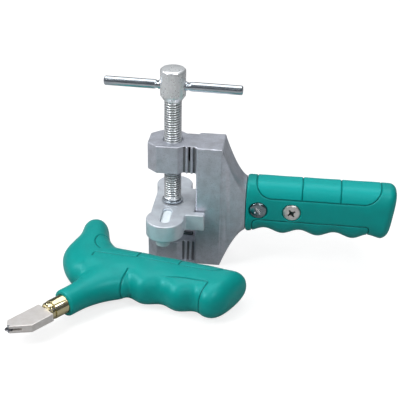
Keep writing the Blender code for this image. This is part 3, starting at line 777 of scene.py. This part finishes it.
def make_clamp_grip():
    length = GRIP_END - GRIP_START
    stations = [0.0, 0.2, 0.5, 0.9, 1.4] + list(np.linspace(2.0, length - END_ROUND, 158))
    stations += [length - left for left in (5.4, 4.7, 4.0, 3.3, 2.6, 2.0, 1.4, 0.9, 0.5, 0.2, 0.05)]
    grip = loft("grip_moulding", [grip_ring(along) for along in stations])
    carve(grip, grip_grooves)
    face, floor = GRIP_HALF, GRIP_HALF - RECESS_SINK
    for node in SCREW_SLOTS:
        low, high = node_box(node)
        radius = (high.x - low.x) / 2 + 0.25
        profile = [(ON_AXIS, face + 4), (radius + 4.4, face + 4), (radius + 0.4, face - 0.1)]
        profile += [(radius, face - 0.6), (radius, floor), (ON_AXIS, floor)]
        boolean(grip, revolved("recess", profile, 64, screw_place(node)))
    mark_grooves(grip, grip_grooves)
    # Painted light: marks the upper panel, which the material makes lighter.
    inside = -signed_panel(points_of(grip.data), **UPPER_PANEL)
    mark(grip, "panel_painted_light", smooth_step(inside / 1.2))
    finished(shaded(grip, 50), "frame", "teal_moulding", "clamp_grip")


def make_grip_screws():
    """Cross-recessed pan heads: a domed rim, a cross and a tapered centre."""
    for node, slot in SCREW_SLOTS.items():
        low, high = node_box(node)
        radius = (high.x - low.x) / 2
        seat, crown = GRIP_HALF - SCREW_SINK, -low.y
        profile = [(ON_AXIS, crown)] + [(radius * share, crown - drop) for share, drop in PAN_HEAD]
        profile += [(radius, seat), (SHANK_RADIUS, seat), (SHANK_RADIUS, -3.2), (SHANK_RADIUS - 1.0, -4.2)]
        profile += [(ON_AXIS, -4.2)]
        screw = revolved(node.replace("grip_screw", "screw"), profile, 72)
        low_corner = (-CROSS_REACH, -CROSS_HALF, crown - CROSS_DEPTH)
        high_corner = (CROSS_REACH, CROSS_HALF, crown + 1)
        for bearing in CROSS_BEARINGS:
            turn = Matrix.Rotation(math.radians(bearing), 4, "Z")
            boolean(screw, box("cross_arm", low_corner, high_corner, turn))
        well = [(ON_AXIS, crown + 1), (1.9, crown + 1), (1.5, crown - 0.6), (0.3, crown - 2.1)]
        well += [(ON_AXIS, crown - 2.1)]
        boolean(screw, revolved("well", well, 32))
        # Painted light in the cross of each head: painted shade on the rear screw, a painted highlight on the
        # front one.
        points = points_of(screw.data)
        within = np.hypot(points[:, 0], points[:, 1]) < 3.4
        mark(screw, "shade", (crown - 0.45 - points[:, 2]) / 0.3 * within)
        screw.data.transform(screw_place(node))
        finished(shaded(screw, 35), "frame", slot, node)


# ---------------------------------------------------------------- cutter: handle


CUTTER_MID = 13.0
SPINE_START, SPINE_END = Vector((-49.93, -47.66)), Vector((51.47, -69.56))
SPINE_LENGTH = (SPINE_END - SPINE_START).length
SPINE_ALONG = (SPINE_END - SPINE_START).normalized()
SPINE_ACROSS = Vector((-SPINE_ALONG.y, SPINE_ALONG.x))
HANDLE_HALF_WIDTH, HANDLE_HALF, HANDLE_POWER = 19.65, 13.0, 2.5
HANDLE_SIDES, HANDLE_ROUND, HANDLE_END_CUT = 96, 10.0, 11.5
HANDLE_LEAN, HANDLE_LEAN_LENGTH = 0.3, 30
HOLLOWS, HOLLOW_START, HOLLOW_PITCH, HOLLOW_DEPTH = 3, 21.0, 23.5, 4.0
NOZZLE_MOUTH, NOZZLE_RADIUS = (-57.6, -92.0), 9.0
NOZZLE_IN = Vector((math.cos(NOZZLE_ANGLE), math.sin(NOZZLE_ANGLE)))
FERRULE_RADIUS, FERRULE_LENGTH = 6.3, 13.3
HORN_POWER, NOZZLE_POWER = 2.1, 2.0

# Horn, from inside the junction out: x, y, half width, half thickness
HORN_STATIONS = (
    (-39.0, -61.4, 2.0, 2.0),
    (-39.4, -60.4, 10.0, 8.6),
    (-40.8, -58.0, 16.4, 11.2),
    (-42.8, -54.2, 19.6, 12.5),
    (-45.0, -50.0, 20.4, 12.9),
    (-48.6, -43.0, 20.6, 12.9),
    (-51.4, -35.0, 19.6, 12.8),
    (-52.6, -27.0, 15.8, 12.5),
    (-53.2, -19.0, 12.2, 12.0),
    (-54.0, -11.0, 10.4, 11.4),
    (-55.0, -4.0, 9.6, 10.6),
    (-56.2, 1.0, 8.6, 9.4),
    (-57.2, 4.4, 6.6, 7.4),
    (-57.8, 6.4, 4.0, 4.8),
    (-58.2, 7.4, 1.6, 2.0),
)

# Nozzle, from its mouth inwards: distance, half width, half thickness
NOZZLE_STATIONS = (
    (0.0, NOZZLE_RADIUS - 0.9, NOZZLE_RADIUS - 0.9),
    (0.3, NOZZLE_RADIUS - 0.4, NOZZLE_RADIUS - 0.4),
    (1.0, NOZZLE_RADIUS, NOZZLE_RADIUS),
    (8.0, NOZZLE_RADIUS, NOZZLE_RADIUS),
    (14.0, 9.4, 9.3),
    (20.0, 10.4, 9.9),
    (26.0, 12.2, 10.6),
    (32.0, 15.0, 11.4),
    (38.0, 18.6, 12.0),
    (48.0, 20.0, 12.3),
)

# Grooves of the handle, as paths along and across its spine
FINGER_RING = ((31.6, -8.4), (31.0, -15.0), (31.0, -20.0), (30.6, -26.0))
FINGER_PANEL = (
    (48, -9.5),
    (60, -9.0),
    (70.3, -7.5),
    (80.2, -6.4),
    (87, -6.2),
    (85.4, -11),
    (83, -19),
    (81.4, -26),
)
PALM_PANEL = (
    (3.7, -3.4),
    (3.3, -0.4),
    (4.9, 2.2),
    (9.2, 2.0),
    (24.8, 3.8),
    (34, 5.2),
    (62, 5.5),
    (85, 6.1),
    (89, 9),
    (92, 20),
)
PALM_CUTS = (((32.6, 5.0), (32.6, 24)), ((61.9, 5.6), (61.9, 24)))
# The thumb's panel in the saddle, as a path in plan
THUMB_PANEL = (
    (-36.0, -19.0),
    (-44.6, -20.6),
    (-47.9, -22.8),
    (-49.2, -26.6),
    (-49.4, -31.0),
    (-48.5, -35.0),
    (-46.5, -38.7),
    (-43.6, -41.6),
)
PANEL_CORNER, THUMB_CORNER = 2.5, 2
# The finger panel's upper line fades out towards the nozzle: by how much, from where and over what length
LINE_FADE, LINE_FADE_START, LINE_FADE_LENGTH = 0.7, 66, 16
# The junction ends here along the spine and this far in from the nozzle's mouth, each over a length
JUNCTION_END, JUNCTION_FADE = 34, 8
NOZZLE_KEPT, NOZZLE_FADE = 8, 6
VOXEL = 0.75
# Rounds that even out the joined skin, fill the junction's hollows and even those out
SKIN_ROUNDS, FILL_ROUNDS, FILLET_ROUNDS = 4, 45, 20
SOCKET_DEPTH = 18.2


def in_spine(points):
    """Distances along and across the handle's spine."""
    x, y = points[:, 0] - SPINE_START.x, points[:, 1] - SPINE_START.y
    return x * SPINE_ALONG.x + y * SPINE_ALONG.y, x * SPINE_ACROSS.x + y * SPINE_ACROSS.y


def handle_ring(centre, across, half_width, half_thickness, power):
    """A rounded outline about a point in the cutter's middle plane."""
    ring = []
    for i in range(HANDLE_SIDES):
        out, up = on_superellipse(2 * math.pi * (i + 0.5) / HANDLE_SIDES, power)
        x, z = out * half_width, up * half_thickness
        ring.append(Vector((centre[0] + across[0] * x, centre[1] + across[1] * x, CUTTER_MID + z)))
    return ring


def finger_hollow(s):
    if not HOLLOW_START < s < HOLLOW_START + HOLLOWS * HOLLOW_PITCH:
        return 0.0
    return HOLLOW_DEPTH * math.sin(math.pi * (s - HOLLOW_START) / HOLLOW_PITCH) ** 2


def grip_limb():
    """The handle's finger grip, along its spine, with a rounded end that leans."""
    rings = []
    stations = list(np.linspace(0, SPINE_LENGTH - HANDLE_ROUND, 96))
    stations += [SPINE_LENGTH - HANDLE_ROUND * (1 - math.sin(math.pi / 2 * i / 16)) for i in range(1, 17)]
    for s in stations:
        inset = max(HANDLE_ROUND - SPINE_LENGTH + s, 0) / HANDLE_ROUND
        cut = HANDLE_END_CUT * (1 - math.sqrt(max(1 - inset**2, 0)))
        hollow = finger_hollow(s)
        centre = SPINE_START + SPINE_ALONG * s + SPINE_ACROSS * (hollow / 2)
        half_width = HANDLE_HALF_WIDTH - hollow / 2 - cut
        ring = handle_ring(centre, SPINE_ACROSS, half_width, HANDLE_HALF - cut, HANDLE_POWER)
        lean = HANDLE_LEAN * float(smooth_step((s - SPINE_LENGTH + HANDLE_LEAN_LENGTH) / HANDLE_LEAN_LENGTH))
        for point in ring:
            point += SPINE_ALONG.to_3d() * lean * SPINE_ACROSS.dot(point.to_2d() - centre)
        rings.append(ring)
    return loft("handle_moulding", rings)


def between(stations, steps=5):
    """More stations on a smooth curve through the given ones."""
    rows = [np.array(row) for row in stations]
    found = []
    for i in range(len(rows) - 1):
        a, b, c, d = rows[max(i - 1, 0)], rows[i], rows[i + 1], rows[min(i + 2, len(rows) - 1)]
        for k in range(steps):
            t = k / steps
            square = (2 * a - 5 * b + 4 * c - d) * t**2
            cube = (3 * b - a - 3 * c + d) * t**3
            found.append(0.5 * (2 * b + (c - a) * t + square + cube))
    return found + [rows[-1]]


def limb(name, stations, power):
    """A rounded limb through stations of x, y, half width and half thickness."""
    points = [Vector((row[0], row[1])) for row in stations]
    rings = []
    for i, row in enumerate(stations):
        along = (points[min(i + 1, len(points) - 1)] - points[max(i - 1, 0)]).normalized()
        across = Vector((-along.y, along.x))
        rings.append(handle_ring(points[i], across, row[2], row[3], power))
    return loft(name, rings)


def nozzle_stations():
    mouth = Vector(NOZZLE_MOUTH)
    return [(*(mouth + NOZZLE_IN * s), width, thick) for s, width, thick in NOZZLE_STATIONS]


def junction_weight(points):
    """1 where the horn and the nozzle grow out of the grip, 0 past it and at the nozzle's mouth."""
    s, _ = in_spine(points)
    root = smooth_step((JUNCTION_END - s) / JUNCTION_FADE)
    nozzle = (points[:, 0] - NOZZLE_MOUTH[0]) * NOZZLE_IN.x + (points[:, 1] - NOZZLE_MOUTH[1]) * NOZZLE_IN.y
    return root * smooth_step((nozzle - NOZZLE_KEPT) / NOZZLE_FADE)


def handle_grooves(points):
    """The distance of each point to the nearest of the handle's grooves."""
    s, t = in_spine(points)
    fade = LINE_FADE * smooth_step((LINE_FADE_START - s) / LINE_FADE_LENGTH)
    nearest = path_distance(s, t, rounded_path(FINGER_PANEL, PANEL_CORNER)) + fade
    for path in (FINGER_RING, rounded_path(PALM_PANEL, PANEL_CORNER), *PALM_CUTS):
        nearest = np.minimum(nearest, path_distance(s, t, path))
    thumb = rounded_path(THUMB_PANEL, THUMB_CORNER)
    return np.minimum(nearest, path_distance(points[:, 0], points[:, 1], thumb))


def nozzle_place():
    """Carries +Z to the way the nozzle points, out of its mouth."""
    out = -NOZZLE_IN.to_3d()
    mouth = Vector((*NOZZLE_MOUTH, CUTTER_MID))
    return Matrix.Translation(mouth * MM) @ out.to_track_quat("Z", "X").to_matrix().to_4x4()


def make_cutter_handle():
    handle = grip_limb()
    for name, stations, power in (
        ("horn", between(HORN_STATIONS), HORN_POWER),
        ("nozzle", between(nozzle_stations()), NOZZLE_POWER),
    ):
        other = limb(name, stations, power)
        shape = bmesh.new()
        shape.from_mesh(handle.data)
        shape.from_mesh(other.data)
        shape.to_mesh(handle.data)
        shape.free()
        bpy.data.objects.remove(other)
    remesh = handle.modifiers.new("Remesh", "REMESH")
    remesh.mode = "VOXEL"
    remesh.voxel_size = VOXEL * MM
    baked(handle)
    smooth(handle.data, SKIN_ROUNDS)
    weight = junction_weight(points_of(handle.data))
    fill_hollows(handle.data, FILL_ROUNDS, weight)
    smooth(handle.data, FILLET_ROUNDS, weight)
    carve(handle, handle_grooves)
    bore = FERRULE_RADIUS + 0.1
    profile = [(ON_AXIS, 4), (FERRULE_RADIUS + 2.2, 4), (FERRULE_RADIUS + 0.15, -0.5), (bore, -3)]
    profile += [(bore, -SOCKET_DEPTH), (ON_AXIS, -SOCKET_DEPTH)]
    boolean(handle, revolved("socket", profile, 72, nozzle_place()))
    mark_grooves(handle, handle_grooves)
    finished(shaded(handle, 60), "cutter", "teal_moulding", "cutter_handle")


# ---------------------------------------------------------------- cutter: ferrule, head and wheel


def make_ferrule():
    inner, top = 3.1, FERRULE_LENGTH
    rim, groove = FERRULE_RADIUS - 0.3, FERRULE_RADIUS - 1.0
    profile = [(inner, top - 0.3), (inner + 0.4, top), (rim - 1.5, top)]
    for angle in np.linspace(0.2, math.pi / 2, 8):
        profile.append((rim - 1.5 + 1.5 * math.sin(angle), top - 1.6 + 1.6 * math.cos(angle)))
    profile += [(rim, top - 2.4), (rim - 0.15, top - 2.6), (groove, top - 2.8), (groove, top - 3.3)]
    profile += [(FERRULE_RADIUS - 0.15, top - 3.65), (FERRULE_RADIUS, top - 3.9)]
    tail = 0.2 - SOCKET_DEPTH
    profile += [(FERRULE_RADIUS, tail + 0.5), (FERRULE_RADIUS - 0.5, tail), (inner, tail)]
    ferrule = tube_profile("ferrule_sleeve", profile, 96)
    turn = Matrix.Rotation(math.radians(-50), 4, "Z")
    boolean(ferrule, box("slit", (0, -0.5, top - 14), (12, 0.5, top + 4), turn))
    ferrule.data.transform(nozzle_place())
    finished(shaded(ferrule), "cutter", "brass", "brass_ferrule")


def make_head():
    finished(refined("head_plate", "cutter_head", 0.18, 2), "cutter", "ground_steel", "cutter_head")


def make_wheel():
    low, high = node_box("cutting_wheel")
    middle = (low + high) / 2
    radius, half = (high.x - low.x) / 2, (high.z - low.z) / 2
    bore, flat, bevel = 0.76, radius - 0.75, radius - 0.62
    profile = [(bore, half), (0.9, half), (flat, half), (bevel, half - 0.06), (radius, 0)]
    profile += [(bevel, -half + 0.06), (flat, -half), (0.9, -half), (bore, -half)]
    wheel = tube_profile("scoring_wheel", profile, 72, Matrix.Translation(middle * MM))
    finished(wheel, "wheel", "carbide", "cutting_wheel")


def dress_kept_nodes():
    """Gives every CAD node its material, for the small inner parts that keep their CAD shapes."""
    slots = {part["node"]: part["material_slot"] for part in frame["record"]["subparts"]}
    for name, obj in frame["nodes"].items():
        obj.data.materials.clear()
        obj.data.materials.append(MATERIALS[slots[name]])


# ---------------------------------------------------------------- stage, lights and camera


FLOOR_LEVEL = -0.2
# Metres
FLOOR_HALF, WALL_RADIUS = 6.0, 5.9
# Share of the light that each floor throws back, and the glow of what the camera sees
FLOOR_ALBEDO, BOUNCE_ALBEDO, FLOOR_GLOW, WALL_GLOW = 0.30, 0.34, 0.78, 0.96


def glowing(name, albedo, roughness, glow):
    """A matt grey surface that also gives off an even white light."""
    surface = Surface(name, (albedo, albedo, albedo), roughness, Specular_IOR_Level=0.0)
    surface.shader.inputs["Emission Color"].default_value = (1, 1, 1, 1)
    surface.shader.inputs["Emission Strength"].default_value = glow
    return surface.made


def hide_from(obj, *rays):
    for ray in rays:
        setattr(obj, "visible_" + ray, False)


def floor_sheet(name, albedo, glow):
    shape = bmesh.new()
    bmesh.ops.create_grid(shape, x_segments=1, y_segments=1, size=FLOOR_HALF)
    sheet = object_from_bmesh(name, shape)
    sheet.location.z = FLOOR_LEVEL * MM
    sheet.data.materials.append(glowing(name, albedo, 0.9, glow))
    return sheet


def make_stage():
    """A pale floor that shows white with faint shadows, over a duller one that throws the light back.

    A white wall stands behind both, for the camera only.
    """
    shown = floor_sheet("floor", FLOOR_ALBEDO, FLOOR_GLOW)
    hide_from(shown, "diffuse", "glossy", "shadow")
    bouncing = floor_sheet("floor_bounce", BOUNCE_ALBEDO, 0.0)
    bouncing.location.z -= 0.1 * MM
    hide_from(bouncing, "camera")
    shape = bmesh.new()
    bmesh.ops.create_uvsphere(shape, u_segments=48, v_segments=24, radius=WALL_RADIUS)
    dome = object_from_bmesh("studio_wall", shape)
    dome.data.materials.append(glowing("studio_wall", 0, 1.0, WALL_GLOW))
    hide_from(dome, "diffuse", "glossy", "shadow", "transmission")


# The studio's sky, from straight down to straight up
SKY = ((0.0, 0.10), (0.47, 0.14), (0.58, 0.26), (1.0, 0.36))
SKY_STRENGTH = 0.42


def make_sky():
    world = bpy.data.worlds.new("studio")
    SCENE.world = world
    world.use_nodes = True
    tree = world.node_tree
    coords = tree.nodes.new("ShaderNodeTexCoord")
    split = tree.nodes.new("ShaderNodeSeparateXYZ")
    height = tree.nodes.new("ShaderNodeMapRange")
    height.inputs["From Min"].default_value = -1.0
    ramp = tree.nodes.new("ShaderNodeValToRGB")
    tree.links.new(coords.outputs["Generated"], split.inputs["Vector"])
    tree.links.new(split.outputs["Z"], height.inputs["Value"])
    tree.links.new(height.outputs["Result"], ramp.inputs["Fac"])
    tree.links.new(ramp.outputs["Color"], tree.nodes["Background"].inputs["Color"])
    stops = ramp.color_ramp.elements
    while len(stops) < len(SKY):
        stops.new(0.5)
    for stop, (position, level) in zip(stops, SKY):
        stop.position = position
        stop.color = (level * 0.94, level, level * 1.08, 1)
    tree.nodes["Background"].inputs["Strength"].default_value = SKY_STRENGTH


# Lamps: bearing from +X and height in degrees, distance, width and height in metres, power in watts
LAMPS = {
    "key": (212, 44, 1.35, 0.32, 0.80, 9.5),
    "fill": (312, 50, 1.3, 0.40, 0.40, 4.0),
    "overhead": (95, 76, 1.5, 1.30, 1.30, 11.5),
    "backdrop": (90, 33, 1.5, 1.60, 0.80, 0.8),
    "side": (174, 36, 1.2, 0.26, 0.40, 2.6),
    "strip": (280, 33, 1.1, 0.14, 1.10, 1.2),
}
LAMP_TARGET = Vector((0.03, -0.03, 0.04))


def make_lamps():
    """Softboxes round the object, each turned to its middle."""
    for name, (bearing, height, distance, wide, tall, power) in LAMPS.items():
        lamp = bpy.data.lights.new(name, "AREA")
        lamp.shape = "RECTANGLE"
        lamp.size = wide
        lamp.size_y = tall
        lamp.energy = power
        turn = Matrix.Rotation(math.radians(bearing), 3, "Z") @ Matrix.Rotation(math.radians(-height), 3, "Y")
        out = turn @ Vector((1, 0, 0))
        obj = new_object(name, lamp)
        obj.location = LAMP_TARGET + out * distance
        obj.rotation_euler = out.to_track_quat("Z", "Y").to_euler()


def make_camera():
    data = bpy.data.cameras.new("camera")
    data.lens = CAMERA_LENS
    data.sensor_width = CAMERA_SENSOR
    data.clip_start = 0.01
    camera = new_object("camera", data)
    yaw, pitch, roll = (math.radians(degrees) for degrees in CAMERA_TURNS)
    turn = Matrix.Rotation(yaw, 4, "Z") @ Matrix.Rotation(pitch, 4, "X") @ Matrix.Rotation(roll, 4, "Z")
    camera.matrix_world = Matrix.Translation(Vector(CAMERA_PLACE) * MM) @ turn
    SCENE.camera = camera


SCENE.view_settings.view_transform = "Standard"
dress_kept_nodes()
make_frame()
make_spindle()
make_tommy_bar()
make_thrust_washer()
make_pressure_bar()
make_feet()
make_clamp_grip()
make_grip_screws()
make_cutter_handle()
make_ferrule()
make_head()
make_wheel()
make_stage()
make_sky()
make_lamps()
make_camera()
